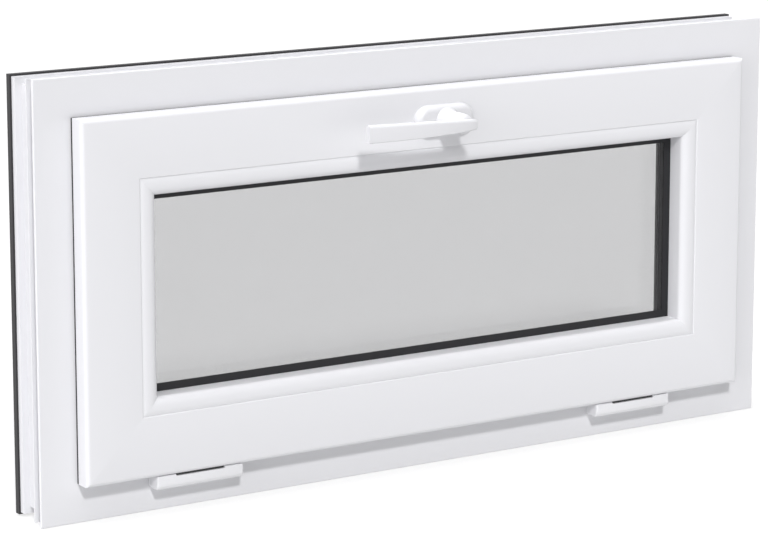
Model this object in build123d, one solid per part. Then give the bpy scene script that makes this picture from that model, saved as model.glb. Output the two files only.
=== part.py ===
"""Bottom-hung attic window: a plastic frame and sash, white inside and clad in grey outside.

X runs to the right as seen from the room, Y from the room to the outside, and Z up.
The origin is the middle of the sill's underside, on the flange along its room face.
Profile sections are drawn as (inset, depth) points: inset from the window's outer
edge towards its middle, depth from the frame's room face towards the outside.
"""
import math
import os

from build123d import *

# Outer frame
window_width = 1000.0
window_height = 500.0
frame_depth = 68.0
frame_edge_radius = 1.3
foot_wall = 2.8
channel_depth = 11.7
middle_foot_depth = 19.1
middle_foot_setback = 2.2
rear_foot_depth = 51.0
rear_foot_width = 9.0
rear_foot_setback = 4.1
front_leg_inset = 53.0
rebate_depth = 9.0
rebate_fall = 2.0
rebate_step = 9.0
rebate_lead = 5.0
outer_leg_rise = 15.0
outer_leg_bevel = 4.0

# Grey cladding on the outside of frame and sash
cladding = 1.5
cladding_setback = 1.9
cladding_hook = 2.0
cladding_lap = 5.0

# Sash
sash_overlap = 8.0
sash_projection = 24.6
sash_depth = 68.0
sash_edge_radius = 2.5
sash_face_width = 71.0
flange_gap = 3.5
rebate_clearance = 3.0
hardware_groove_width = 16.0
hardware_groove_depth = 6.0
hardware_groove_setback = 14.0
bead_seat = 20.0
glazing_floor = 3.0
tip_height = 16.5
tip_width = 4.5
tip_bevel_run = 7.5

# Glazing bead, with a shallow crown that rolls over to its inner face
bead_width = 20.1
bead_drop = 8.2
bead_crown_flat = 4.5
bead_crown_rise = 2.6
bead_edge_radius = 0.8
bead_back_depth = 1.4
bead_clearance = 0.2

# Insulating glass unit and its gaskets
gasket_wedge = 2.0
pane_thickness = 4.0
spacer_thickness = 16.0
spacer_height = 8.0
glass_edge_clearance = 4.0
lip_width = 8.9
lip_tip = 0.8
lip_heel = 3.0
outer_gasket = 2.6
outer_gasket_height = 7.0

# Seals between sash and frame
inner_seal_setback = 1.2
inner_seal_width = 5.0
outer_seal_setback = 5.0
outer_seal_width = 5.0
seal_round = 0.8

# Hinges under the sash
hinge_left_margin = 144.0
hinge_right_margin = 160.0
hinge_cover_length = 110.0
hinge_cover_height = 14.5
hinge_cover_projection = 22.0
hinge_cover_wall = 1.6
hinge_cover_top_round = 3.0
hinge_cover_bottom_round = 6.5
hinge_cover_end_bevel = 2.2
hinge_drop = 2.7
hinge_leaf = 2.0
hinge_leaf_margin = 1.0
hinge_plate_depth = 14.0
hinge_pin_radius = 2.5
hinge_pin_clearance = 0.1
hinge_knuckle_wall = 1.8
hinge_knuckle_gap = 0.4
hinge_knuckle_clearance = 0.1
hinge_sash_knuckle = 60.0
hinge_end_clearance = 4.8
hinge_slot_clearance = 1.2

# Handle on the top rail of the sash
handle_axis_x = 11.0
handle_setback = 38.2
rosette_length = 80.0
rosette_height = 37.0
rosette_thickness = 10.0
rosette_slope_run = 5.0
rosette_slope_rise = 7.0
running_gap = 0.3
neck_foot_radius = 15.5
neck_radius = 13.5
neck_flare = 9.0
neck_nose_bevel = 4.5
neck_reach = 50.0
grip_front_heel = 53.0
grip_front_crest = 57.0
grip_front_tip = 45.0
grip_crest_run = 36.0
grip_length = 131.0
grip_heel = 14.0
grip_height = 19.5
grip_heel_height = 15.5
grip_thickness = 11.0
grip_tip_thickness = 9.0
grip_edge_bevel = 2.2
spindle_side = 7.0
spindle_length = 36.0
spindle_grip = 12.0
spindle_clearance = 0.4

# Drain slots through the outside of the sill, and the caps over them
drain_spacing = 560.0
drain_slot_length = 30.0
drain_slot_height = 5.0
drain_cap_length = 44.0
drain_cap_height = 15.0
drain_cap_thickness = 4.0
drain_cap_wall = 1.4
drain_cap_edge = 1.2
drain_cap_drop = 2.0

# Packers under the sill, which let it stand level behind its flange
packer_spacing = 620.0
packer_length = 60.0
packer_lead = 3.0

# Sizes worked out from the ones above
room_face = -foot_wall / 2
outside_face = room_face + frame_depth
rebate_floor_inset = front_leg_inset - rebate_depth
outer_leg_inset = front_leg_inset + outer_leg_rise
sash_inset = front_leg_inset - sash_overlap
sash_back = sash_depth - sash_projection
sash_body_inset = front_leg_inset + rebate_clearance
outer_leg_depth = sash_back + flange_gap
inner_seal_inset = sash_inset + inner_seal_setback
outer_seal_inset = sash_body_inset + outer_seal_setback
bead_outer_inset = sash_inset + sash_face_width
bead_inset = bead_outer_inset + bead_width
glazing_floor_inset = bead_outer_inset + glazing_floor
glass_edge_inset = glazing_floor_inset + glass_edge_clearance
lip_inset = bead_inset + lip_width
tip_inset = glazing_floor_inset + tip_height
bead_seat_depth = bead_seat - sash_projection
glass_front = bead_back_depth + gasket_wedge
spacer_front = glass_front + pane_thickness
outer_pane_front = spacer_front + spacer_thickness
glass_back = outer_pane_front + pane_thickness
tip_front = glass_back + outer_gasket
sash_front_y = room_face - sash_projection
handle_axis_z = window_height - sash_inset - handle_setback
hinge_hollow_length = hinge_cover_length - 2 * (hinge_cover_end_bevel + hinge_cover_wall)
hinge_hollow_depth = hinge_cover_projection - hinge_cover_bottom_round
hinge_knuckle_radius = hinge_pin_radius + hinge_pin_clearance + hinge_knuckle_wall
hinge_pin_reach = hinge_hollow_depth - hinge_knuckle_radius - hinge_knuckle_clearance
hinge_pin_length = hinge_hollow_length - 2 * hinge_end_clearance
hinge_frame_knuckle = (hinge_pin_length - hinge_sash_knuckle) / 2 - hinge_knuckle_gap


def outline(points, rounds=()):
    """Closed face through the points, with each (point number, radius) corner rounded."""
    face = make_face(Polyline(*points, close=True)).face()
    for number, radius in rounds:
        corner = Vector(*points[number])
        nearest = min(face.vertices(), key=lambda vertex: (Vector(*vertex) - corner).length)
        face = face.fillet_2d(radius, [nearest])
    return face


def inner_path(path, gap):
    """The points of an open path, moved sideways to its left by the gap."""
    steps = [(Vector(*b) - Vector(*a)).normalized() for a, b in zip(path, path[1:])]
    normals = [Vector(-step.Y, step.X) for step in steps]
    corners = [normals[0]]
    for before, after in zip(normals, normals[1:]):
        corners.append((before + after) / (1 + before.dot(after)))
    corners.append(normals[-1])
    moved = [Vector(*point) + corner * gap for point, corner in zip(path, corners)]
    return [(point.X, point.Y) for point in moved]


def side_plane(side):
    """Plane of a rail's section: its x runs to the window's middle, its y to the outside."""
    places = {
        "bottom": ((0, room_face, 0), (0, 0, 1)),
        "top": ((0, room_face, window_height), (0, 0, -1)),
        "left": ((-window_width / 2, room_face, window_height / 2), (1, 0, 0)),
        "right": ((window_width / 2, room_face, window_height / 2), (-1, 0, 0)),
    }
    origin, inward = places[side]
    return Plane(origin=origin, x_dir=inward, z_dir=Vector(*inward).cross(Vector(0, 1, 0)))


def mitre_wedge(side):
    """Prism that ends a rail on the 45 degree planes through the window's corners."""
    half = window_width / 2
    reach = window_height / 2
    corners = {
        "bottom": [(-half, 0), (half, 0), (half - reach, reach), (reach - half, reach)],
        "top": [(-half, window_height), (reach - half, reach), (half - reach, reach),
                (half, window_height)],
        "left": [(-half, 0), (reach - half, reach), (-half, window_height)],
        "right": [(half, 0), (half, window_height), (half - reach, reach)],
    }
    return extrude(Plane.XZ * make_face(Polyline(*corners[side], close=True)),
                   amount=2 * frame_depth, both=True)


def rail(section, side):
    """One mitred length of a profile along a side of the window."""
    run = window_width if side in ("bottom", "top") else window_height
    bar = extrude(side_plane(side) * section, amount=run / 2, both=True)
    return bar & mitre_wedge(side)


def ring(section):
    """The profile taken all the way round as one piece."""
    pieces = [rail(section, side) for side in ("bottom", "top", "left", "right")]
    return pieces[0].fuse(*pieces[1:]).clean()


def frame_cladding_path():
    front = rear_foot_depth + rear_foot_width
    back = frame_depth
    return [
        (rear_foot_setback + cladding_hook, front),
        (cladding_setback, front),
        (cladding_setback, back),
        (outer_leg_inset - outer_leg_bevel, back),
        (outer_leg_inset, back - outer_leg_bevel),
        (outer_leg_inset, outer_leg_depth + cladding_lap),
    ]


def frame_section():
    front = [
        (0, 0),
        (0, foot_wall),
        (channel_depth, foot_wall),
        (channel_depth, middle_foot_depth),
        (middle_foot_setback, middle_foot_depth),
        (middle_foot_setback, middle_foot_depth + foot_wall),
        (channel_depth, middle_foot_depth + foot_wall),
        (channel_depth, rear_foot_depth),
        (rear_foot_setback, rear_foot_depth),
        (rear_foot_setback, rear_foot_depth + rear_foot_width),
    ]
    cladding_start = frame_cladding_path()[:1]
    under_cladding = cladding_start + inner_path(frame_cladding_path(), -cladding)
    rebate = [
        (outer_leg_inset, outer_leg_depth + cladding_lap),
        (outer_leg_inset, outer_leg_depth),
        (rebate_floor_inset - rebate_fall, outer_leg_depth),
        (rebate_floor_inset, rebate_step + rebate_lead),
        (front_leg_inset, rebate_step),
        (front_leg_inset, 0),
    ]
    points = front + under_cladding + rebate
    last = len(points) - 1
    rounds = [(0, frame_edge_radius), (last, frame_edge_radius)]
    return outline(points, rounds)


def frame_cladding_section():
    path = frame_cladding_path()
    return outline(path + inner_path(path, -cladding)[::-1])


def sash_cladding_path():
    return [
        (tip_inset, tip_front),
        (tip_inset, tip_front + tip_width),
        (tip_inset - tip_bevel_run, sash_back),
        (sash_body_inset + cladding_lap, sash_back),
    ]


def sash_section():
    groove_front = sash_back - hardware_groove_setback - hardware_groove_width
    points = [
        (sash_inset, -sash_projection),
        (bead_outer_inset, -sash_projection),
        (bead_outer_inset, bead_seat_depth),
        (glazing_floor_inset, bead_seat_depth),
        (glazing_floor_inset, tip_front),
    ]
    points += inner_path(sash_cladding_path(), cladding)
    points += [
        (sash_body_inset + cladding_lap, sash_back),
        (sash_body_inset, sash_back),
        (sash_body_inset, groove_front + hardware_groove_width),
        (sash_body_inset + hardware_groove_depth, groove_front + hardware_groove_width),
        (sash_body_inset + hardware_groove_depth, groove_front),
        (sash_body_inset, groove_front),
        (sash_body_inset, -flange_gap),
        (sash_inset, -flange_gap),
    ]
    return outline(points, [(0, sash_edge_radius), (1, bead_edge_radius)])


def sash_cladding_section():
    path = sash_cladding_path()
    return outline(path + inner_path(path, cladding)[::-1])


def bead_section():
    """Bead with a flat land beside the sash, then a crown that falls to the glass."""
    face = -sash_projection
    crown_start = bead_outer_inset + bead_crown_flat
    middle = (crown_start + bead_inset) / 2
    with BuildSketch() as sketch:
        with BuildLine():
            start = (bead_outer_inset, face + bead_edge_radius)
            crown = (crown_start, face)
            Line(start, (bead_outer_inset + bead_edge_radius, face))
            Line((bead_outer_inset + bead_edge_radius, face), crown)
            ThreePointArc(crown, (middle, face + bead_crown_rise), (bead_inset, face + bead_drop))
            Polyline(
                (bead_inset, face + bead_drop),
                (bead_inset, bead_back_depth),
                (glazing_floor_inset + bead_clearance, bead_back_depth),
                (glazing_floor_inset + bead_clearance, bead_seat_depth),
                (bead_outer_inset, bead_seat_depth),
                start,
            )
        make_face()
        nose = sketch.vertices().sort_by_distance((bead_inset, face + bead_drop, 0))[0]
        fillet(nose, bead_edge_radius)
    return sketch.sketch.face()


def lip_section():
    """Front gasket: a wedge behind the bead that thins to a lip on the glass."""
    return outline([
        (glass_edge_inset + lip_heel, bead_back_depth),
        (bead_inset, bead_back_depth),
        (lip_inset, glass_front - lip_tip),
        (lip_inset, glass_front),
        (glass_edge_inset + lip_heel, glass_front),
    ])


def strip_section(inset, width, front, back):
    """Plain seal of the given width that fills the gap from front to back."""
    points = [(inset, front), (inset + width, front), (inset + width, back), (inset, back)]
    return outline(points, [(number, seal_round) for number in range(4)])


def block_section(inset, width, front, back):
    return outline([(inset, front), (inset + width, front), (inset + width, back), (inset, back)])


def pane(front):
    """One sheet of glass, standing with its edge inside the glazing rebate."""
    sheet = Box(window_width - 2 * glass_edge_inset, pane_thickness,
                window_height - 2 * glass_edge_inset)
    return Pos(0, room_face + front + pane_thickness / 2, window_height / 2) * sheet


def x_cylinder(radius, length, centre):
    return Pos(*centre) * Rot(0, 90, 0) * Cylinder(radius, length)


def hinge_place(side):
    """Middle of a hinge along the window's width."""
    sash_half = window_width / 2 - sash_inset
    if side == "left":
        return hinge_left_margin - sash_half
    return sash_half - hinge_right_margin


def hinge_pieces(side):
    """Cover, pin and the two leaves of one hinge below the sash."""
    x = hinge_place(side)
    cover_top = sash_inset - hinge_drop
    cover_z = cover_top - hinge_cover_height / 2
    pin_y = room_face - hinge_pin_reach
    pin = (x, pin_y, cover_z)
    bore = x_cylinder(hinge_pin_radius + hinge_pin_clearance, 2 * hinge_pin_length, pin)
    inner_height = hinge_cover_height - 2 * hinge_cover_wall
    slot_length = hinge_sash_knuckle + 2 * hinge_slot_clearance
    slot_width = hinge_leaf + 2 * hinge_slot_clearance

    section = Plane(origin=(x, room_face, cover_z), x_dir=(0, -1, 0), z_dir=(-1, 0, 0))
    half_height = hinge_cover_height / 2
    face = outline([(0, -half_height), (hinge_cover_projection, -half_height),
                    (hinge_cover_projection, half_height), (0, half_height)],
                   [(1, hinge_cover_bottom_round), (2, hinge_cover_top_round)])
    shell = extrude(section * face, amount=hinge_cover_length / 2, both=True)
    ends = shell.faces().filter_by(Axis.X).edges()
    shell = chamfer(ends.filter_by(lambda edge: edge.center().Y < room_face), hinge_cover_end_bevel)
    cavity = Pos(hinge_hollow_depth / 2, 0) * Rectangle(hinge_hollow_depth, inner_height)
    hollow = extrude(section * cavity, amount=hinge_hollow_length / 2, both=True)
    slot = Pos(x, pin_y, cover_top) * Box(slot_length, slot_width, 2 * hinge_drop)
    cover = shell - hollow - slot

    plate_height = inner_height - 2 * hinge_leaf_margin
    plate = Box(hinge_pin_length, hinge_leaf, plate_height)
    frame_leaf = Pos(x, room_face - hinge_leaf / 2, cover_z) * plate
    offset = (hinge_sash_knuckle + hinge_frame_knuckle) / 2 + hinge_knuckle_gap
    for direction in (-1, 1):
        centre = (x + direction * offset, pin_y, cover_z)
        web = Pos(centre[0], room_face - hinge_pin_reach / 2, cover_z)
        web *= Box(hinge_frame_knuckle, hinge_pin_reach, hinge_knuckle_wall)
        frame_leaf += web + x_cylinder(hinge_knuckle_radius, hinge_frame_knuckle, centre)
    frame_leaf -= bore

    arm_height = sash_inset - cover_z
    arm = Pos(x, pin_y, cover_z + arm_height / 2)
    arm *= Box(hinge_sash_knuckle, hinge_leaf, arm_height)
    flange_plate = Pos(x, pin_y - hinge_leaf, sash_inset - hinge_leaf / 2)
    flange_plate *= Box(hinge_sash_knuckle, hinge_plate_depth, hinge_leaf)
    sash_leaf = arm + flange_plate + x_cylinder(hinge_knuckle_radius, hinge_sash_knuckle, pin)
    sash_leaf -= bore
    return {
        f"hinge_cover_{side}": cover,
        f"hinge_pin_{side}": x_cylinder(hinge_pin_radius, hinge_pin_length, pin),
        f"hinge_frame_leaf_{side}": frame_leaf,
        f"hinge_sash_leaf_{side}": sash_leaf,
    }


def handle_plane(distance):
    """Plane square to the handle's axis, the given distance in front of the sash face."""
    return Plane(origin=(handle_axis_x, sash_front_y - distance, handle_axis_z),
                 x_dir=(1, 0, 0), z_dir=(0, -1, 0))


def spindle_hole():
    """Round hole that leaves the square spindle free to turn."""
    radius = spindle_side / math.sqrt(2) + spindle_clearance
    reach = spindle_length
    return extrude(handle_plane(0) * Circle(radius), amount=reach, both=True)


def handle_rosette():
    body = extrude(handle_plane(0) * SlotOverall(rosette_length, rosette_height),
                   amount=rosette_thickness)
    face = body.faces().sort_by(Axis.Y)[0]
    body = chamfer(face.edges(), rosette_slope_run, rosette_slope_rise, reference=face)
    return body - spindle_hole()


def handle_neck():
    """Turned neck that flares to its foot on the rosette and is bevelled at its nose."""
    base = rosette_thickness + running_gap
    with BuildSketch(Plane.XY) as half:
        with BuildLine():
            Polyline((0, neck_reach), (0, base), (neck_foot_radius, base),
                     (neck_radius, base + neck_flare), (neck_radius, neck_reach), (0, neck_reach))
        make_face()
        nose = half.vertices().sort_by_distance((neck_radius, neck_reach, 0))[0]
        chamfer(nose, neck_nose_bevel)
    turned = revolve(half.sketch, axis=Axis.Y)
    return Pos(handle_axis_x, sash_front_y, handle_axis_z) * Rot(0, 0, 180) * turned


def handle_grip():
    """Grip that bows away from the sash, drawn from above and cut to its taper in height."""
    with BuildSketch(Plane.XY) as plan:
        with BuildLine():
            heel = (grip_heel, grip_front_heel)
            crest = (-grip_crest_run, grip_front_crest)
            tip = (-grip_length, grip_front_tip)
            under_tip = (-grip_length, grip_front_tip - grip_tip_thickness)
            under_crest = (-grip_crest_run, grip_front_crest - grip_thickness)
            under_heel = (grip_heel, grip_front_heel - grip_thickness)
            ThreePointArc(heel, crest, tip)
            Line(tip, under_tip)
            ThreePointArc(under_tip, under_crest, under_heel)
            Line(under_heel, heel)
        make_face()
    taper = [
        (grip_heel, -grip_heel_height / 2),
        (grip_heel, grip_heel_height / 2),
        (-grip_length / 2, grip_height / 2),
        (-grip_length, grip_height / 2),
        (-grip_length, -grip_height / 2),
        (-grip_length / 2, -grip_height / 2),
    ]
    slab = extrude(Plane.XY * plan.sketch, amount=grip_height, both=True)
    side = extrude(Plane.XZ * outline(taper), amount=2 * grip_front_crest, both=True)
    grip = slab & side
    front = grip.faces().sort_by(lambda face: face.center().Y)[-1]
    return chamfer(front.edges(), grip_edge_bevel)


def handle_lever():
    """Neck and grip in one casting."""
    turned = Pos(handle_axis_x, sash_front_y, handle_axis_z) * mirror(handle_grip(), Plane.XZ)
    lever = handle_neck() + turned
    hole = extrude(handle_plane(0) * Rectangle(spindle_side, spindle_side),
                   amount=rosette_thickness + running_gap + spindle_grip)
    return lever - hole


def handle_spindle():
    base = rosette_thickness + running_gap
    return extrude(handle_plane(base + spindle_grip) * Rectangle(spindle_side, spindle_side),
                   amount=-spindle_length)


def drain_slot(direction):
    """Slot from the lowest point of the rebate to the outside."""
    rebate_back = room_face + outer_leg_depth
    depth = 2 * (outside_face - rebate_back)
    bottom = rebate_floor_inset - rebate_fall
    centre = (direction * drain_spacing / 2, outside_face, bottom + drain_slot_height / 2)
    return Pos(*centre) * Box(drain_slot_length, depth, drain_slot_height)


def drain_cap(direction):
    """Hooded cap on the outside of the sill, open underneath for the water."""
    slot_top = rebate_floor_inset - rebate_fall + drain_slot_height
    centre = (direction * drain_spacing / 2, outside_face,
              slot_top + drain_cap_drop - drain_cap_height / 2)
    plane = Plane(origin=centre, x_dir=(-1, 0, 0), z_dir=(0, 1, 0))
    body = extrude(plane * SlotOverall(drain_cap_length, drain_cap_height),
                   amount=drain_cap_thickness)
    body = chamfer(body.faces().sort_by(Axis.Y)[-1].edges(), drain_cap_edge)
    mouth = Box(drain_slot_length, drain_cap_thickness - drain_cap_wall, drain_cap_height,
                align=(Align.CENTER, Align.MIN, Align.MAX))
    return body - Pos(centre[0], outside_face, slot_top) * mouth


def sill_packer(direction):
    """Stepped packer that fills the gaps under the sill's middle and rear feet."""
    x = direction * packer_spacing / 2
    front = room_face + middle_foot_depth - packer_lead
    step = room_face + rear_foot_depth - packer_lead
    back = room_face + rear_foot_depth + rear_foot_width
    corner = (Align.CENTER, Align.MIN, Align.MIN)
    low = Pos(x, front, 0) * Box(packer_length, back - front, middle_foot_setback, align=corner)
    high = Pos(x, step, 0) * Box(packer_length, back - step, rear_foot_setback, align=corner)
    return low + high


def window_parts():
    parts = {}
    names = {
        "bottom": ("frame_sill", "sash_bottom_rail"),
        "top": ("frame_head", "sash_top_rail"),
        "left": ("frame_jamb_left", "sash_stile_left"),
        "right": ("frame_jamb_right", "sash_stile_right"),
    }
    frame_face = frame_section()
    frame_clad_face = frame_cladding_section()
    sash_face = sash_section()
    sash_clad_face = sash_cladding_section()
    bead_face = bead_section()
    for side, (frame_name, sash_name) in names.items():
        parts[frame_name] = rail(frame_face, side)
        parts[f"frame_cladding_{side}"] = rail(frame_clad_face, side)
        parts[sash_name] = rail(sash_face, side)
        parts[f"sash_cladding_{side}"] = rail(sash_clad_face, side)
        parts[f"glazing_bead_{side}"] = rail(bead_face, side)
    parts["sash_top_rail"] -= spindle_hole()
    for direction in (-1, 1):
        parts["frame_cladding_bottom"] -= drain_slot(direction)
        parts["frame_sill"] -= drain_slot(direction)

    parts["glass_pane_inner"] = pane(glass_front)
    parts["glass_pane_outer"] = pane(outer_pane_front)
    parts["glass_spacer"] = ring(block_section(
        tip_inset - spacer_height, spacer_height, spacer_front, outer_pane_front))
    parts["glazing_gasket_inner"] = ring(lip_section())
    parts["glazing_gasket_outer"] = ring(strip_section(
        tip_inset - outer_gasket_height - cladding, outer_gasket_height, glass_back, tip_front))
    parts["rebate_seal_inner"] = ring(strip_section(
        inner_seal_inset, inner_seal_width, -flange_gap, 0))
    parts["rebate_seal_outer"] = ring(strip_section(
        outer_seal_inset, outer_seal_width, sash_back, outer_leg_depth))

    for side in ("left", "right"):
        parts.update(hinge_pieces(side))
    parts["handle_rosette"] = handle_rosette()
    parts["handle_lever"] = handle_lever()
    parts["handle_spindle"] = handle_spindle()
    parts["drain_cap_left"] = drain_cap(-1)
    parts["drain_cap_right"] = drain_cap(1)
    parts["sill_packer_left"] = sill_packer(-1)
    parts["sill_packer_right"] = sill_packer(1)
    return parts


os.makedirs("parts", exist_ok=True)
for node, shape in window_parts().items():
    export_step(shape, f"parts/{node}.step")
    box = shape.bounding_box()
    print(node, len(shape.solids()), [round(value, 2) for value in (*box.min, *box.max)])
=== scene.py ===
# %% [markdown]
# # An attic window, dressed for the camera
#
# The solids of this window come from CAD: a plastic frame, a sash that opens inwards at its top,
# glazing beads, two panes of glass, hinges and a handle. This lesson loads them as a fixed frame,
# gives every one of them a finish, and replaces the pieces that the eye dwells on with rounder ones
# modelled here: the sash rails, the beads, the seal beside the sash, the hinge covers, the handle
# and the drain caps.

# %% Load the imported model
import math

import bmesh
import bpy
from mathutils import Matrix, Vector


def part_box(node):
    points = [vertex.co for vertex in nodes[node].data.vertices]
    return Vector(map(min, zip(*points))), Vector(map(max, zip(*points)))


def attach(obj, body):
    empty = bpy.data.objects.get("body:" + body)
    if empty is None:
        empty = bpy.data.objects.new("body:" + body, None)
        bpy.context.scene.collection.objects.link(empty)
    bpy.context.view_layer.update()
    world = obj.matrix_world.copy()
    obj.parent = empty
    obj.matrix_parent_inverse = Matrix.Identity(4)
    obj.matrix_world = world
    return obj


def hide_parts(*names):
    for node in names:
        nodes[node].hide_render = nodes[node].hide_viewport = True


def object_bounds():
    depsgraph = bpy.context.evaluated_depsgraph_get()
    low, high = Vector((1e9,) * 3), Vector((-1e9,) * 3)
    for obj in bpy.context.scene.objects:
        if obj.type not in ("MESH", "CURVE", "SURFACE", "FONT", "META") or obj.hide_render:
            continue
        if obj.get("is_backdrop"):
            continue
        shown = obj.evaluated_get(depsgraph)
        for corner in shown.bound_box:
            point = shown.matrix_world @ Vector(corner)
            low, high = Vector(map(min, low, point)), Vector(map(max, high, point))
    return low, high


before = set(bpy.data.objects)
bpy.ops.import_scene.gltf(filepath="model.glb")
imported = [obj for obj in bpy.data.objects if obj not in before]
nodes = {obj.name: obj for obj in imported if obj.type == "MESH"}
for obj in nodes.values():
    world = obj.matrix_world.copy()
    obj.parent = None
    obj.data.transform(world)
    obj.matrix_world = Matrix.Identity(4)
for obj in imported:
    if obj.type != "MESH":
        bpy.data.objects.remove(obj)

cad_low, cad_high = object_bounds()
scene = bpy.context.scene
print("CAD nodes:", len(nodes), "box:", tuple(cad_low), tuple(cad_high))

MM = 0.001

# %% [markdown]
# ## Camera
#
# The photo was taken from the left of the window and a little above it, from far away with a long
# lens, so the sash's long edges run almost parallel. The camera's place was found by matching the
# corners of frame and sash. A small vertical shift keeps the upright edges nearly upright, as they
# are in the photo, without pushing the window out of the other views.

# %% Place the camera
camera_data = bpy.data.cameras.new("camera")
camera = bpy.data.objects.new("camera", camera_data)
scene.collection.objects.link(camera)
scene.camera = camera

CAMERA_YAW = 32.3261
CAMERA_PITCH = 10.4939
CAMERA_PLACE = (-1.92010, -2.95088, 0.97421)
CAMERA_LENS = 143.69
CAMERA_SHIFT = -0.10
camera.location = CAMERA_PLACE
camera.rotation_euler = (math.radians(90 - CAMERA_PITCH), 0, math.radians(-CAMERA_YAW))
camera_data.lens = CAMERA_LENS
camera_data.sensor_width = 36.0
camera_data.shift_y = CAMERA_SHIFT
camera_data.clip_end = 100.0
print("camera:", tuple(camera.location), "lens", camera_data.lens)

# %% [markdown]
# ## Light
#
# The shadow under the sash is crisp, equally long everywhere and drops at about forty degrees, so
# the key light is a sun with a small disc, in front of the window, to the left and well above it.
# The shadow is far from black: two thirds of the light comes from all around. Faces that look left
# or up are the brightest ones, so the world has a wide glow on the left and one overhead. The one
# overhead leans a little to the back, so it leaves the front faces to the sun.

# %% Sun and world
KEY_DIRECTION = Vector((-0.38, -1.0, 0.89)).normalized()
KEY_STRENGTH = 1.80
KEY_DISC = 6.5
key_light = bpy.data.lights.new("key_light", "SUN")
key_light.energy = KEY_STRENGTH
key_light.angle = math.radians(KEY_DISC)
key_holder = bpy.data.objects.new("key_light", key_light)
key_holder.rotation_euler = KEY_DIRECTION.to_track_quat("Z", "Y").to_euler()
scene.collection.objects.link(key_holder)

world = bpy.data.worlds.new("studio")
scene.world = world
world.use_nodes = True
sky = world.node_tree
sky.nodes.clear()
sky_output = sky.nodes.new("ShaderNodeOutputWorld")
direction = sky.nodes.new("ShaderNodeTexCoord")


def maths(tree, kind, first, second):
    """Maths node of one kind on two inputs, each a socket or a number."""
    node = tree.nodes.new("ShaderNodeMath")
    node.operation = kind
    for socket, value in zip(node.inputs, (first, second)):
        if isinstance(value, bpy.types.NodeSocket):
            tree.links.new(value, socket)
        else:
            socket.default_value = value
    return node.outputs[0]


def glow_from(towards, focus, strength):
    """Light that swells in one direction of the sky and fades around it."""
    nearness = sky.nodes.new("ShaderNodeVectorMath")
    nearness.operation = "DOT_PRODUCT"
    nearness.inputs[1].default_value = Vector(towards).normalized()
    sky.links.new(direction.outputs["Generated"], nearness.inputs[0])
    facing = maths(sky, "MAXIMUM", nearness.outputs["Value"], 0.0)
    return maths(sky, "MULTIPLY", maths(sky, "POWER", facing, focus), strength)


AMBIENT_ALL_ROUND = 0.05
left_glow = glow_from((-0.97, -0.20, 0.15), 6.0, 3.1)
overhead_glow = glow_from((-0.10, 0.11, 1.0), 8.0, 4.9)
ambient = sky.nodes.new("ShaderNodeBackground")
ambient.inputs["Color"].default_value = (0.985, 0.985, 1.0, 1.0)
both_glows = maths(sky, "ADD", left_glow, overhead_glow)
sky.links.new(maths(sky, "ADD", both_glows, AMBIENT_ALL_ROUND), ambient.inputs["Strength"])
backdrop = sky.nodes.new("ShaderNodeBackground")
backdrop.inputs["Color"].default_value = (1.0, 1.0, 1.0, 1.0)
backdrop.inputs["Strength"].default_value = 1.0


def seen_directly(tree):
    """1 for camera, mirror and see-through rays, so they meet the white studio, and 0 for light."""
    rays = tree.nodes.new("ShaderNodeLightPath")
    either = maths(tree, "MAXIMUM", rays.outputs["Is Camera Ray"], rays.outputs["Is Glossy Ray"])
    return maths(tree, "MAXIMUM", either, rays.outputs["Is Transmission Ray"])


sky_mix = sky.nodes.new("ShaderNodeMixShader")
sky.links.new(seen_directly(sky), sky_mix.inputs["Fac"])
sky.links.new(ambient.outputs[0], sky_mix.inputs[1])
sky.links.new(backdrop.outputs[0], sky_mix.inputs[2])
sky.links.new(sky_mix.outputs[0], sky_output.inputs["Surface"])
scene.view_settings.view_transform = "Standard"

# %% [markdown]
# ## Floor
#
# The photo's background is plain white, and light comes back up from it evenly. The floor is like a
# light table: most of its white is a glow, and the rest is paint that takes the window's shadow.
# The glow is a little stronger to the camera than to the window.

# %% Floor
FLOOR_REACH = 30.0
FLOOR_DROP = 0.5 * MM
FLOOR_PAINT = 0.27
FLOOR_GLOW = 0.56
FLOOR_GLOW_SEEN = 0.14

bpy.ops.object.select_all(action="DESELECT")
bpy.ops.mesh.primitive_plane_add(size=FLOOR_REACH, location=(0, 0, -FLOOR_DROP))
floor = bpy.context.object
floor.name = "floor"
bpy.ops.object.transform_apply(location=True)
floor_paint = bpy.data.materials.new("floor_paint")
floor_paint.use_nodes = True
tree = floor_paint.node_tree
paint = tree.nodes["Principled BSDF"]
paint.inputs["Base Color"].default_value = (FLOOR_PAINT, FLOOR_PAINT, FLOOR_PAINT, 1.0)
paint.inputs["Roughness"].default_value = 0.9
paint.inputs["Specular IOR Level"].default_value = 0.0
paint.inputs["Emission Color"].default_value = (1.0, 1.0, 1.0, 1.0)
seen_glow = maths(tree, "MULTIPLY", seen_directly(tree), FLOOR_GLOW_SEEN)
tree.links.new(maths(tree, "ADD", seen_glow, FLOOR_GLOW), paint.inputs["Emission Strength"])
floor.data.materials.append(floor_paint)
floor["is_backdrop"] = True

# %% [markdown]
# ## Effects that several finishes share
#
# Moulded and extruded plastic is never quite flat. Under a magnifier it has a slight orange peel,
# and its gloss drifts a little from place to place. Powder coat has a tighter, harder grain. Both
# are noise at different scales, so one node group makes them: it takes a colour, the size of the
# grain and how strong it is, and gives back a colour, a roughness and a normal.

# %% Node group for grain
BUMP_REACH = 0.2 * MM
DRIFT_SCALE = 9.0
TONE_SHARE = 0.25


def group_socket(group, name, direction, kind, value=None):
    socket = group.interface.new_socket(name=name, in_out=direction, socket_type=kind)
    if value is not None:
        socket.default_value = value
    return socket


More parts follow.
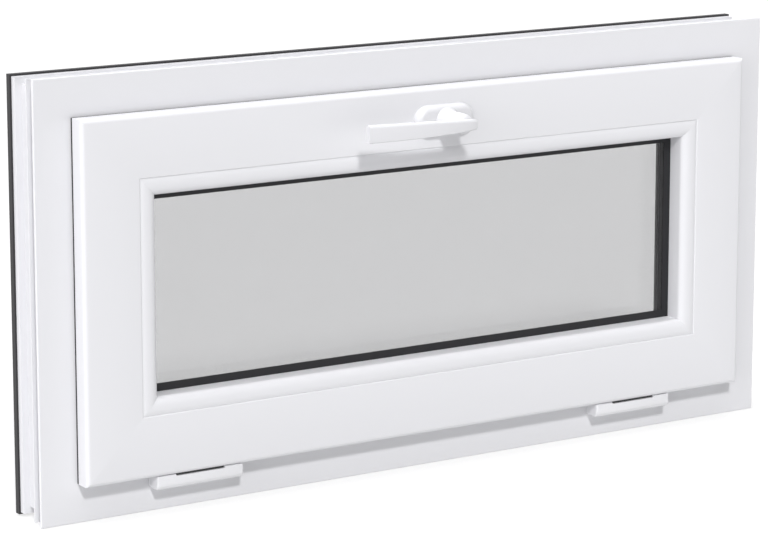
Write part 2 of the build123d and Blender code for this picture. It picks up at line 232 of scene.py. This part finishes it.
def make_surface_grain():
    group = bpy.data.node_groups.new("surface_grain", "ShaderNodeTree")
    group_socket(group, "Vector", "INPUT", "NodeSocketVector")
    group_socket(group, "Color", "INPUT", "NodeSocketColor", (0.8, 0.8, 0.8, 1.0))
    group_socket(group, "Roughness", "INPUT", "NodeSocketFloat", 0.4)
    group_socket(group, "Grain Scale", "INPUT", "NodeSocketFloat", 900.0)
    group_socket(group, "Grain Height", "INPUT", "NodeSocketFloat", 0.05)
    group_socket(group, "Drift", "INPUT", "NodeSocketFloat", 0.05)
    group_socket(group, "Color", "OUTPUT", "NodeSocketColor")
    group_socket(group, "Roughness", "OUTPUT", "NodeSocketFloat")
    group_socket(group, "Normal", "OUTPUT", "NodeSocketVector")
    new, link = group.nodes.new, group.links.new
    given = new("NodeGroupInput")
    made = new("NodeGroupOutput")

    grain = new("ShaderNodeTexNoise")
    grain.inputs["Detail"].default_value = 3.0
    link(given.outputs["Vector"], grain.inputs["Vector"])
    link(given.outputs["Grain Scale"], grain.inputs["Scale"])
    bump = new("ShaderNodeBump")
    bump.inputs["Distance"].default_value = BUMP_REACH
    link(grain.outputs["Fac"], bump.inputs["Height"])
    link(given.outputs["Grain Height"], bump.inputs["Strength"])
    link(bump.outputs["Normal"], made.inputs["Normal"])

    drift = new("ShaderNodeTexNoise")
    drift.inputs["Scale"].default_value = DRIFT_SCALE
    drift.inputs["Detail"].default_value = 4.0
    link(given.outputs["Vector"], drift.inputs["Vector"])
    centred = new("ShaderNodeMath")
    centred.operation = "SUBTRACT"
    centred.inputs[1].default_value = 0.5
    link(drift.outputs["Fac"], centred.inputs[0])
    scaled = new("ShaderNodeMath")
    scaled.operation = "MULTIPLY"
    link(centred.outputs[0], scaled.inputs[0])
    link(given.outputs["Drift"], scaled.inputs[1])
    rough = new("ShaderNodeMath")
    rough.operation = "ADD"
    rough.use_clamp = True
    link(given.outputs["Roughness"], rough.inputs[0])
    link(scaled.outputs[0], rough.inputs[1])
    link(rough.outputs[0], made.inputs["Roughness"])

    tone = new("ShaderNodeMath")
    tone.operation = "MULTIPLY_ADD"
    tone.inputs[1].default_value = TONE_SHARE
    tone.inputs[2].default_value = 1.0
    link(scaled.outputs[0], tone.inputs[0])
    tinted = new("ShaderNodeVectorMath")
    tinted.operation = "SCALE"
    link(given.outputs["Color"], tinted.inputs[0])
    link(tone.outputs[0], tinted.inputs["Scale"])
    link(tinted.outputs["Vector"], made.inputs["Color"])
    return group


surface_grain = make_surface_grain()

# %% [markdown]
# ## Finishes
#
# Each finish is one Principled shader with the grain group in front of it. The plastic profiles
# are pushed through a die, so they carry very faint lines along their length: the grain's
# coordinates are squeezed along the rail. Rails run across and stiles run upright, so the profile
# finish is made twice. The zinc is for the hinge parts that stay hidden, and the plate of each
# hinge that shows above its cover is black.

# %% Finish builder
def coated(name, colour, roughness, grain_scale, grain_height, drift, squeeze=(1, 1, 1),
           metallic=0.0, specular=0.5):
    """Material with a Principled shader fed by the shared grain."""
    material = bpy.data.materials.new(name)
    material.use_nodes = True
    tree = material.node_tree
    shader = tree.nodes["Principled BSDF"]
    place = tree.nodes.new("ShaderNodeTexCoord")
    mapping = tree.nodes.new("ShaderNodeMapping")
    mapping.inputs["Scale"].default_value = squeeze
    grain = tree.nodes.new("ShaderNodeGroup")
    grain.node_tree = surface_grain
    grain.inputs["Color"].default_value = (*colour, 1.0)
    grain.inputs["Roughness"].default_value = roughness
    grain.inputs["Grain Scale"].default_value = grain_scale
    grain.inputs["Grain Height"].default_value = grain_height
    grain.inputs["Drift"].default_value = drift
    tree.links.new(place.outputs["Object"], mapping.inputs["Vector"])
    tree.links.new(mapping.outputs["Vector"], grain.inputs["Vector"])
    tree.links.new(grain.outputs["Color"], shader.inputs["Base Color"])
    tree.links.new(grain.outputs["Roughness"], shader.inputs["Roughness"])
    tree.links.new(grain.outputs["Normal"], shader.inputs["Normal"])
    shader.inputs["Metallic"].default_value = metallic
    shader.inputs["Specular IOR Level"].default_value = specular
    return material


PROFILE_WHITE = (0.700, 0.700, 0.722)
CAP_WHITE = (0.715, 0.715, 0.737)
HANDLE_WHITE = (0.665, 0.665, 0.686)
ANTHRACITE = (0.030, 0.029, 0.031)
DIE_LINES = 0.06

profile_across = coated("white_profile_across", PROFILE_WHITE, 0.34, 420.0, 0.035, 0.10,
                        squeeze=(DIE_LINES, 1, 1))
profile_upright = coated("white_profile_upright", PROFILE_WHITE, 0.34, 420.0, 0.035, 0.10,
                         squeeze=(1, 1, DIE_LINES))
cap_white = coated("moulded_cap_white", CAP_WHITE, 0.26, 650.0, 0.03, 0.06)
handle_white = coated("handle_powder_white", HANDLE_WHITE, 0.28, 380.0, 0.05, 0.05)
cladding_grey = coated("cladding_powder_coat", ANTHRACITE, 0.52, 1900.0, 0.35, 0.10, specular=0.25)
cap_grey = coated("drain_cap_grey", ANTHRACITE, 0.45, 1200.0, 0.20, 0.08, specular=0.3)
seal_black = coated("seal_rubber", (0.012, 0.012, 0.014), 0.62, 1500.0, 0.15, 0.15, specular=0.35)
spacer_black = coated("spacer_black", (0.020, 0.020, 0.022), 0.50, 1800.0, 0.10, 0.10)
packer_plastic = coated("packer_plastic", (0.10, 0.10, 0.105), 0.55, 900.0, 0.15, 0.10)
hinge_black = coated("hinge_black", (0.015, 0.015, 0.017), 0.45, 700.0, 0.10, 0.10)
zinc = coated("zinc_plate", (0.36, 0.36, 0.38), 0.38, 700.0, 0.10, 0.25, metallic=1.0)
print("finishes:", len(bpy.data.materials))

# %% [markdown]
# Glass stays plain. The window stands before a white background that reads as an even light grey
# through the unit, so each sheet takes a little of the light away and leaves a trace of blue. Its
# transmission and metal sockets hold plain numbers.

# %% Glass
GLASS_TINT = (0.725, 0.725, 0.728, 1.0)

glass = bpy.data.materials.new("pane_glass")
glass.use_nodes = True
shader = glass.node_tree.nodes["Principled BSDF"]
shader.inputs["Base Color"].default_value = GLASS_TINT
shader.inputs["Roughness"].default_value = 0.0
shader.inputs["IOR"].default_value = 1.45
shader.inputs["Transmission Weight"].default_value = 1.0

# %% Put the finishes on the CAD nodes
def finish_for(name):
    if name.startswith(("frame_cladding", "sash_cladding")):
        return cladding_grey
    if name.startswith(("frame_jamb", "sash_stile")):
        return profile_upright
    if name in ("glazing_bead_left", "glazing_bead_right"):
        return profile_upright
    if name.startswith(("frame_", "sash_", "glazing_bead")):
        return profile_across
    if name.startswith("glass_pane"):
        return glass
    if name == "glass_spacer":
        return spacer_black
    if name.startswith("sill_packer"):
        return packer_plastic
    if name.startswith(("glazing_gasket", "rebate_seal")):
        return seal_black
    if name.startswith("hinge_cover"):
        return cap_white
    if name.startswith("drain_cap"):
        return cap_grey
    if name in ("handle_lever", "handle_rosette"):
        return handle_white
    if name.startswith("hinge_sash_leaf"):
        return hinge_black
    return zinc


for name, node in nodes.items():
    node.data.materials.clear()
    node.data.materials.append(finish_for(name))
print("dressed:", len(nodes))

# %% [markdown]
# ## Working by hand, in code
#
# Each new piece starts as a primitive and is shaped in edit mode, as it would be by hand. Four
# helpers keep that readable. The first adds a primitive with nothing else selected, the second
# selects vertices, edges or faces by where their middle is, the third finishes a piece, and the
# last subtracts a cutter from one.

# %% Modelling helpers
NEAR = 0.01 * MM


def begin(name, primitive, scale=(1, 1, 1), **settings):
    """Adds a primitive, alone in the selection, at its own scale, and opens it in edit mode."""
    if bpy.context.object and bpy.context.object.mode != "OBJECT":
        bpy.ops.object.mode_set(mode="OBJECT")
    bpy.ops.object.select_all(action="DESELECT")
    primitive(**settings)
    piece = bpy.context.object
    piece.name = name
    piece.data.name = name
    piece.scale = scale
    bpy.ops.object.transform_apply(location=True, rotation=True, scale=True)
    bpy.ops.object.mode_set(mode="EDIT")
    return piece


def pick(piece, kind, test):
    """Selects the elements of one kind whose middle, in metres, passes the test."""
    bpy.ops.mesh.select_mode(type=kind)
    bpy.ops.mesh.select_all(action="DESELECT")
    work = bmesh.from_edit_mesh(piece.data)
    elements = {"VERT": work.verts, "EDGE": work.edges, "FACE": work.faces}[kind]
    for element in elements:
        if kind == "VERT":
            middle = element.co
        elif kind == "EDGE":
            middle = (element.verts[0].co + element.verts[1].co) / 2
        else:
            middle = element.calc_center_median()
        if test(element, middle):
            element.select_set(True)
    work.select_flush_mode()
    bmesh.update_edit_mesh(piece.data)


def close(piece, material, body, smooth_angle=35.0):
    """Leaves edit mode, tidies the mesh, gives the finish and rides it on its body."""
    bpy.ops.mesh.select_all(action="SELECT")
    bpy.ops.mesh.remove_doubles(threshold=NEAR)
    bpy.ops.mesh.normals_make_consistent(inside=False)
    bpy.ops.object.mode_set(mode="OBJECT")
    bpy.ops.object.shade_smooth_by_angle(angle=math.radians(smooth_angle))
    piece.data.materials.clear()
    piece.data.materials.append(material)
    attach(piece, body)


def cut_away(piece, cutter):
    """Subtracts a cutter from a piece and throws the cutter away."""
    bpy.ops.object.mode_set(mode="OBJECT")
    bpy.ops.object.select_all(action="DESELECT")
    bpy.context.view_layer.objects.active = piece
    piece.select_set(True)
    cut = piece.modifiers.new("cut", "BOOLEAN")
    cut.operation = "DIFFERENCE"
    cut.solver = "EXACT"
    cut.object = cutter
    bpy.ops.object.modifier_apply(modifier=cut.name)
    bpy.data.objects.remove(cutter)
    bpy.ops.object.mode_set(mode="EDIT")


# %% [markdown]
# ## Profile lengths
#
# Frame, sash and beads are lengths of profile with mitred ends. By hand such a length is quick: the
# section is drawn by extruding a single vertex from corner to corner, filled, pulled to length, and
# cut at forty-five degrees at both ends. A section is a list of points in millimetres, each one an
# inset from the window's outer edge and a depth behind the frame's room face. In edge or face mode
# a lone vertex can't be selected, so the helper asks for vertex mode before it draws.

# %% Helper for a mitred length
frame_low = Vector((cad_low.x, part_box("frame_sill")[0].y, 0))
frame_high = Vector((cad_high.x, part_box("frame_sill")[1].y, cad_high.z))
ROOM_FACE = frame_low.y
ACROSS = Vector((1, 0, 0))
UPRIGHT = Vector((0, 0, 1))
SIDES = {
    "bottom": (Vector((frame_low.x, 0, frame_low.z)), ACROSS, UPRIGHT),
    "top": (Vector((frame_low.x, 0, frame_high.z)), ACROSS, -UPRIGHT),
    "left": (Vector((frame_low.x, 0, frame_low.z)), UPRIGHT, ACROSS),
    "right": (Vector((frame_high.x, 0, frame_low.z)), UPRIGHT, -ACROSS),
}


def section_point(side, inset, depth):
    """Place of a section's point at the start of a side's run, in metres."""
    start, _, inward = SIDES[side]
    return start + inward * (inset * MM) + Vector((0, ROOM_FACE + depth * MM, 0))


def mitred_length(name, side, section):
    """One length of profile along a side, left in edit mode."""
    start, along, inward = SIDES[side]
    run = (frame_high - frame_low).dot(along)
    places = [section_point(side, inset, depth) for inset, depth in section]
    piece = begin(name, bpy.ops.mesh.primitive_plane_add, size=0.001, location=places[0])
    bpy.ops.mesh.select_mode(type="VERT")
    bpy.ops.mesh.select_all(action="SELECT")
    bpy.ops.mesh.merge(type="CENTER")
    for before, after in zip(places, places[1:]):
        bpy.ops.mesh.extrude_region_move(TRANSFORM_OT_translate={"value": after - before})
    bpy.ops.mesh.select_all(action="SELECT")
    bpy.ops.mesh.edge_face_add()
    bpy.ops.mesh.extrude_region_move(TRANSFORM_OT_translate={"value": along * run})
    for corner, outward in ((start, inward - along), (start + along * run, inward + along)):
        bpy.ops.mesh.select_all(action="SELECT")
        bpy.ops.mesh.bisect(plane_co=corner, plane_no=outward, clear_outer=True, use_fill=True)
    bpy.ops.mesh.select_all(action="SELECT")
    bpy.ops.mesh.normals_make_consistent(inside=False)
    return piece


def round_edge(piece, side, inset, depth, radius, segments):
    """Rounds the long edge that starts at one point of the section."""
    corner = section_point(side, inset, depth)
    along = SIDES[side][1]

    def on_edge(edge, at):
        edge_way = (edge.verts[1].co - edge.verts[0].co).normalized()
        away = at - corner
        beside = (away - along * away.dot(along)).length
        return abs(edge_way.dot(along)) > 0.999 and beside < 0.1 * MM
    pick(piece, "EDGE", on_edge)
    bpy.ops.mesh.bevel(offset=radius * MM, segments=segments, profile=0.5, affect="EDGES")


def profile_finish(side):
    """Profile finish whose die lines run along a side."""
    return profile_across if side in ("bottom", "top") else profile_upright


# %% [markdown]
# ## Sash rails
#
# The sash's outer edge catches the light in a soft band, wider than on the solids, because the real
# profile is rounded there by about five millimetres. Its inner edge, where the bead snaps in, has a
# much tighter round.

# %% Pull the four sash rails
SASH_INSET = 45.0
SASH_PROJECTION = 24.6
SASH_BACK = 43.4
BEAD_JOINT = 116.0
BEAD_SEAT_DEPTH = -4.6
GLAZING_FLOOR = 119.0
TIP_INSET = 134.0
TIP_FRONT = 30.0
TIP_BEVEL_START = 33.95
TIP_BEVEL_INSET = 127.3
CLADDING = 1.5
CLADDING_LAP = 61.0
BODY_INSET = 56.0
GROOVE_FLOOR = 62.0
GROOVE_FRONT = 13.4
GROOVE_BACK = 29.4
FLANGE_BACK = -3.5
OUTER_ROUND = 5.0
INNER_ROUND = 1.6

SASH_SECTION = [
    (SASH_INSET, -SASH_PROJECTION), (BEAD_JOINT, -SASH_PROJECTION), (BEAD_JOINT, BEAD_SEAT_DEPTH),
    (GLAZING_FLOOR, BEAD_SEAT_DEPTH), (GLAZING_FLOOR, TIP_FRONT), (TIP_INSET, TIP_FRONT),
    (TIP_INSET, TIP_BEVEL_START), (TIP_BEVEL_INSET, SASH_BACK - CLADDING),
    (CLADDING_LAP, SASH_BACK - CLADDING), (CLADDING_LAP, SASH_BACK), (BODY_INSET, SASH_BACK),
    (BODY_INSET, GROOVE_BACK), (GROOVE_FLOOR, GROOVE_BACK), (GROOVE_FLOOR, GROOVE_FRONT),
    (BODY_INSET, GROOVE_FRONT), (BODY_INSET, FLANGE_BACK), (SASH_INSET, FLANGE_BACK),
]
SASH_NODES = {"bottom": "sash_bottom_rail", "top": "sash_top_rail",
              "left": "sash_stile_left", "right": "sash_stile_right"}

for side, node_name in SASH_NODES.items():
    sash = mitred_length(f"{node_name}_rounded", side, SASH_SECTION)
    round_edge(sash, side, SASH_INSET, -SASH_PROJECTION, OUTER_ROUND, 8)
    round_edge(sash, side, BEAD_JOINT, -SASH_PROJECTION, INNER_ROUND, 4)
    close(sash, profile_finish(side), "window")
    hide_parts(node_name)
    print(sash.name, len(sash.data.polygons), "faces")

# %% [markdown]
# ## Glazing beads
#
# The beads are little pillows. From the joint with the sash they rise to a crest, run nearly flat,
# and then roll over towards the glass, faster and faster. Two short formulas give that crown.

# %% Pull the four beads
BEAD_WIDTH = 20.1
BEAD_BACK = 1.4
BEAD_CLEARANCE = 0.2
BEAD_ROUND = 2.2
BEAD_CREST = 6.0
CROWN_RISE = 1.1
CROWN_FALL = 5.5
CROWN_STEPS = 16


def crown_depth(across):
    """How far the crown lies behind the sash face, this far from the joint."""
    if across < BEAD_CREST:
        return CROWN_RISE * ((BEAD_CREST - across) / BEAD_CREST) ** 2
    return CROWN_FALL * ((across - BEAD_CREST) / (BEAD_WIDTH - BEAD_CREST)) ** 3


bead_crown = []
for step in range(CROWN_STEPS + 1):
    across = BEAD_WIDTH * step / CROWN_STEPS
    bead_crown.append((BEAD_JOINT + across, -SASH_PROJECTION + crown_depth(across)))
BEAD_SECTION = bead_crown + [
    (BEAD_JOINT + BEAD_WIDTH, BEAD_BACK), (GLAZING_FLOOR + BEAD_CLEARANCE, BEAD_BACK),
    (GLAZING_FLOOR + BEAD_CLEARANCE, BEAD_SEAT_DEPTH), (BEAD_JOINT, BEAD_SEAT_DEPTH),
]

for side in SIDES:
    bead = mitred_length(f"glazing_bead_{side}_crowned", side, BEAD_SECTION)
    round_edge(bead, side, BEAD_JOINT + BEAD_WIDTH, -SASH_PROJECTION + CROWN_FALL, BEAD_ROUND, 5)
    close(bead, profile_finish(side), "window", smooth_angle=40.0)
    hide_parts(f"glazing_bead_{side}")
    print(bead.name, len(bead.data.polygons), "faces")

# %% [markdown]
# ## Seal between sash and frame
#
# A black lip closes the gap round the sash and shows as a thin dark line beside it. It is a plain
# ring: a rectangle, inset, with its middle taken out, and pulled to the depth of the gap.

# %% Model the seal
SEAL_REVEAL = 0.2
SEAL_WIDTH = 6.0

seal_inset = (SASH_INSET + SEAL_REVEAL) * MM
seal_size = (frame_high - frame_low) - Vector((2 * seal_inset, 0, 2 * seal_inset))
seal_place = Vector(((frame_low.x + frame_high.x) / 2, ROOM_FACE + FLANGE_BACK * MM,
                     (frame_low.z + frame_high.z) / 2))
seal = begin("rebate_seal_inner_lip", bpy.ops.mesh.primitive_plane_add, size=1.0,
             location=seal_place, rotation=(math.radians(90), 0, 0),
             scale=(seal_size.x, seal_size.z, 1.0))
bpy.ops.mesh.select_all(action="SELECT")
bpy.ops.mesh.inset(thickness=SEAL_WIDTH * MM)
pick(seal, "FACE", lambda f, at: len(f.verts) == 4 and (at - seal_place).length < 1 * MM)
bpy.ops.mesh.delete(type="FACE")
bpy.ops.mesh.select_all(action="SELECT")
bpy.ops.mesh.extrude_region_move(TRANSFORM_OT_translate={"value": (0, -FLANGE_BACK * MM, 0)})
close(seal, seal_black, "window")
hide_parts("rebate_seal_inner")
print("seal:", len(seal.data.polygons), "faces")

# %% [markdown]
# ## Hinge covers
#
# Each hinge hides behind a moulded cover, a bar with a tight round along its top edge and a wide
# one underneath, which is why the photo shows it fading to grey towards its lower edge. A box
# with bevelled edges gives exactly that. Its ends reach up to the sash, and between them a shallow
# notch shows the dark edge of the hinge leaf.

# %% Model the covers
COVER_TO_SASH = 0.4 * MM
COVER_UNDERSIDE_ROUND = 6.5 * MM
COVER_TOP_ROUND = 3.0 * MM
COVER_END_ROUND = 2.2 * MM
NOTCH_MARGIN = 1.2 * MM
NOTCH_DEPTH = 2.6 * MM
OVERCUT = 1.0 * MM


def hinge_cover(side):
    """Moulded cover of one hinge, with a notch above its leaf."""
    low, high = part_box(f"hinge_cover_{side}")
    leaf_low, leaf_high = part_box(f"hinge_sash_leaf_{side}")
    high = Vector((high.x, high.y, leaf_high.z - COVER_TO_SASH))
    middle = (low + high) / 2
    size = high - low
    piece = begin(f"hinge_cover_{side}_moulded", bpy.ops.mesh.primitive_cube_add, size=1.0,
                  location=middle, scale=size)
    pick(piece, "EDGE", lambda e, at: abs(at.y - low.y) < NEAR and abs(at.z - low.z) < NEAR)
    bpy.ops.mesh.bevel(offset=COVER_UNDERSIDE_ROUND, segments=10, profile=0.5, affect="EDGES")
    pick(piece, "EDGE", lambda e, at: abs(at.y - low.y) < NEAR and abs(at.z - high.z) < NEAR)
    bpy.ops.mesh.bevel(offset=COVER_TOP_ROUND, segments=6, profile=0.5, affect="EDGES")

    def end_outline(e, at):
        on_end = min(abs(at.x - low.x), abs(at.x - high.x)) < NEAR
        return on_end and at.y < high.y - NEAR and e.calc_face_angle(0) > 1.0
    pick(piece, "EDGE", end_outline)
    bpy.ops.mesh.bevel(offset=COVER_END_ROUND, segments=5, profile=0.5, affect="EDGES")

    notch_low = Vector((leaf_low.x - NOTCH_MARGIN, low.y - OVERCUT, leaf_high.z - NOTCH_DEPTH))
    notch_high = Vector((leaf_high.x + NOTCH_MARGIN, high.y + OVERCUT, leaf_high.z + OVERCUT))
    bpy.ops.object.mode_set(mode="OBJECT")
    bpy.ops.object.select_all(action="DESELECT")
    bpy.ops.mesh.primitive_cube_add(size=1.0, location=(notch_low + notch_high) / 2,
                                    scale=notch_high - notch_low)
    cut_away(piece, bpy.context.object)
    close(piece, cap_white, "window")
    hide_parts(f"hinge_cover_{side}")
    return piece


for side in ("left", "right"):
    cover = hinge_cover(side)
    print(cover.name, len(cover.data.polygons), "faces")

# %% [markdown]
# ## Handle rosette
#
# The rosette is the oval plate that the handle turns on. Its rim rolls over in one broad round,
# so from the front only a slim flat is left. A drum is split down its middle and the halves are
# moved apart, which gives the oval, and then its front rim is bevelled in many small steps.

# %% Model the rosette
rosette_low, rosette_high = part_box("handle_rosette")
rosette_middle = (rosette_low + rosette_high) / 2
ROSETTE_ROUND = 8.0 * MM
SPINDLE_HOLE = 5.35 * MM
HOLE_CUTTER_LENGTH = 50 * MM


def oval_drum(name, low, high, steps):
    """Drum along Y stretched to an oval that fills the box from low to high."""
    middle = (low + high) / 2
    size = high - low
    radius = size.z / 2
    stretch = size.x / 2 - radius
    piece = begin(name, bpy.ops.mesh.primitive_cylinder_add, vertices=steps, radius=radius,
                  depth=size.y, location=middle,
                  rotation=(math.radians(90), math.radians(180 / steps), 0))
    for way in (-1, 1):
        pick(piece, "VERT", lambda v, at: (at.x - middle.x) * way > 0)
        bpy.ops.transform.translate(value=(way * stretch, 0, 0))
    return piece


rosette = oval_drum("handle_rosette_turned", rosette_low, rosette_high, 64)
front_y = rosette_low.y
pick(rosette, "EDGE", lambda e, at: abs(at.y - front_y) < NEAR and e.calc_face_angle(0) > 1.0)
bpy.ops.mesh.bevel(offset=ROSETTE_ROUND, segments=12, profile=0.5, affect="EDGES")
bpy.ops.object.mode_set(mode="OBJECT")
bpy.ops.object.select_all(action="DESELECT")
bpy.ops.mesh.primitive_cylinder_add(vertices=32, radius=SPINDLE_HOLE,
                                    depth=HOLE_CUTTER_LENGTH, location=rosette_middle,
                                    rotation=(math.radians(90), 0, 0))
cut_away(rosette, bpy.context.object)
close(rosette, handle_white, "window")
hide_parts("handle_rosette")
print("rosette:", len(rosette.data.polygons), "faces")

# %% [markdown]
# ## Handle lever
#
# The lever is one casting: a short turned neck that flares to its foot, and a flat grip that
# bows away from the sash and gets taller towards its tip. The grip grows from a small upright
# plate at the heel, extruded station by station along its length, and each new end is moved and
# resized. Its upper edges are rounder than its lower ones. The neck is a drum whose front face is
# extruded and shrunk to a dome.

# %% Grow the grip
axis_x = rosette_middle.x
axis_z = rosette_middle.z
sash_y = rosette_high.y

# Stations of the grip: place along X from the axis, front face from the sash, thickness, height
GRIP_STATIONS = [
    (14.2, 52.3, 8.0, 9.0),
    (12.0, 53.2, 9.6, 11.6),
    (7.0, 54.0, 10.0, 12.8),
    (-2.0, 55.2, 10.2, 13.8),
    (-14.0, 56.3, 10.2, 15.0),
    (-28.0, 57.0, 10.1, 16.2),
    (-44.0, 57.0, 9.9, 17.4),
    (-62.0, 56.4, 9.7, 18.5),
    (-82.0, 55.2, 9.4, 19.4),
    (-102.0, 53.5, 9.2, 20.0),
    (-119.0, 51.8, 9.0, 20.4),
    (-129.6, 50.8, 9.0, 20.5),
    (-130.8, 50.7, 8.6, 20.1),
]


def grip_station(number):
    """Middle, thickness and height of the grip at one station, in metres."""
    along, front, thickness, height = GRIP_STATIONS[number]
    middle = Vector((axis_x + along * MM, sash_y - (front - thickness / 2) * MM, axis_z))
    return middle, thickness * MM, height * MM


middle, thickness, height = grip_station(0)
lever = begin("handle_lever_cast", bpy.ops.mesh.primitive_plane_add, size=1.0, location=middle,
              rotation=(0, math.radians(-90), 0), scale=(height, thickness, 1.0))
for number in range(1, len(GRIP_STATIONS)):
    last_middle, last_thickness, last_height = middle, thickness, height
    middle, thickness, height = grip_station(number)
    bpy.ops.mesh.extrude_region_move(TRANSFORM_OT_translate={"value": middle - last_middle})
    bpy.ops.transform.resize(value=(1.0, thickness / last_thickness, height / last_height),
                             center_override=middle)


def long_edge(upper):
    """Test for the long edges of the grip's upper or lower half."""
    def test(edge, at):
        runs_along = abs((edge.verts[0].co - edge.verts[1].co).normalized().x) > 0.3
        return edge.calc_face_angle(0) > 0.8 and runs_along and (at.z > axis_z) == upper
    return test


UPPER_ROUND = 3.6
LOWER_ROUND = 1.4

for upper, radius in ((True, UPPER_ROUND), (False, LOWER_ROUND)):
    pick(lever, "EDGE", long_edge(upper))
    bpy.ops.mesh.bevel(offset=radius * MM, segments=6, profile=0.5, affect="EDGES")
bpy.ops.mesh.select_all(action="SELECT")
bpy.ops.mesh.normals_make_consistent(inside=False)

# %% [markdown]
# The neck is turned about the same axis as the spindle, and joined to the grip with a Boolean
# union, so the lever is one closed skin as a casting is.

# %% Turn the neck and join it
# Turned outline of the neck: distance from the sash, and radius there
NECK_OUTLINE = [
    (10.3, 15.5), (11.2, 15.2), (13.0, 14.2), (15.5, 13.2), (19.3, 12.6), (42.0, 12.2),
    (44.2, 12.0), (46.3, 11.2), (48.1, 9.7), (49.3, 7.6), (49.9, 4.8), (50.0, 2.0),
]


def on_axis(reach):
    """Point of the handle's axis at a distance from the sash."""
    return (axis_x, sash_y - reach * MM, axis_z)


def shrink_front(ratio, reach):
    """Resizes the selected front face about the axis."""
    bpy.ops.transform.resize(value=(ratio, 1.0, ratio), center_override=on_axis(reach))


foot_reach, foot_radius = NECK_OUTLINE[0]
reach, radius = NECK_OUTLINE[1]
neck = begin("handle_neck", bpy.ops.mesh.primitive_cylinder_add, vertices=48,
             radius=foot_radius * MM, depth=(reach - foot_reach) * MM,
             location=on_axis((foot_reach + reach) / 2), rotation=(math.radians(90), 0, 0))
pick(neck, "FACE", lambda f, at: f.normal.y < -0.9)
shrink_front(radius / foot_radius, reach)
for next_reach, next_radius in NECK_OUTLINE[2:]:
    step = (0, -(next_reach - reach) * MM, 0)
    bpy.ops.mesh.extrude_region_move(TRANSFORM_OT_translate={"value": step})
    shrink_front(next_radius / radius, next_reach)
    reach, radius = next_reach, next_radius
bpy.ops.mesh.select_all(action="SELECT")
bpy.ops.mesh.normals_make_consistent(inside=False)
bpy.ops.object.mode_set(mode="OBJECT")

bpy.ops.object.select_all(action="DESELECT")
bpy.context.view_layer.objects.active = lever
lever.select_set(True)
union = lever.modifiers.new("union", "BOOLEAN")
union.operation = "UNION"
union.solver = "EXACT"
union.object = neck
bpy.ops.object.modifier_apply(modifier=union.name)
bpy.data.objects.remove(neck)
bpy.ops.object.mode_set(mode="EDIT")
close(lever, handle_white, "handle", smooth_angle=40.0)
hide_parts("handle_lever")
print("lever:", len(lever.data.polygons), "faces")

# %% [markdown]
# ## Drain caps
#
# On the outside, two small hoods cover the slots that let water out of the sill. They are the
# same oval as the rosette, flatter, with a mouth cut into the underside.

# %% Model the drain caps
CAP_ROUND = 1.4 * MM
MOUTH_SIZE = (30 * MM, 2.6 * MM, 13 * MM)

for side in ("left", "right"):
    low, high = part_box(f"drain_cap_{side}")
    cap = oval_drum(f"drain_cap_{side}_moulded", low, high, 32)
    outer_y = high.y
    pick(cap, "EDGE", lambda e, at: abs(at.y - outer_y) < NEAR and e.calc_face_angle(0) > 1.0)
    bpy.ops.mesh.bevel(offset=CAP_ROUND, segments=5, profile=0.5, affect="EDGES")
    bpy.ops.object.mode_set(mode="OBJECT")
    bpy.ops.object.select_all(action="DESELECT")
    mouth_place = ((low.x + high.x) / 2, low.y + MOUTH_SIZE[1] / 2, low.z)
    bpy.ops.mesh.primitive_cube_add(size=1.0, location=mouth_place, scale=MOUTH_SIZE)
    cut_away(cap, bpy.context.object)
    close(cap, cap_grey, "window")
    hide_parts(f"drain_cap_{side}")
    print(cap.name, len(cap.data.polygons), "faces")

# %% [markdown]
# ## Size of the dressed window
#
# The box round the dressed window is measured. The dressed window must stay inside the
# CAD model's box.

# %% Measure the dressed window
low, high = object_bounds()
